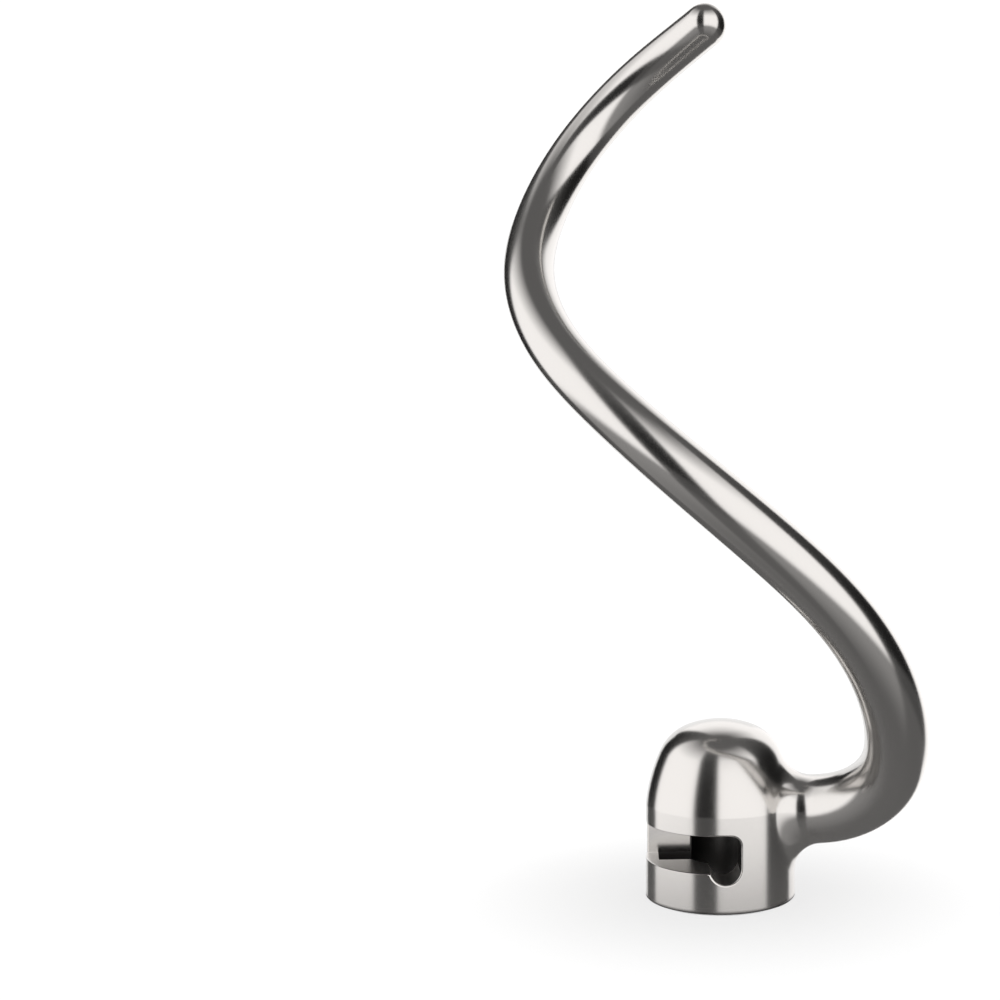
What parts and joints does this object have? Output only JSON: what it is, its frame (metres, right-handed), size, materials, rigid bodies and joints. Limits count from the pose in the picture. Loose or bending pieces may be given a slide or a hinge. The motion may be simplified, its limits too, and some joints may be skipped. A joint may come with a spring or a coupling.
{
  "type": "spiral dough hook",
  "caption": "Spiral polished steel hook for kneading dough, with a domed hub whose blind bore and L-shaped side slot lock it onto a mixer's drive shaft.",
  "frame": {"origin": "centre of the hub's mouth, on the axis of the bore", "axes": "+Z along the bore from the mouth towards the dome, +X towards the side where the arm leaves the hub, and -Y towards the front of the spiral"},
  "size_m": [0.0806, 0.0618, 0.177],
  "materials": {
    "steel": "polished"
  },
  "bodies": {
    "root": {"dough_hook": "steel"}
  },
  "joints": []
}
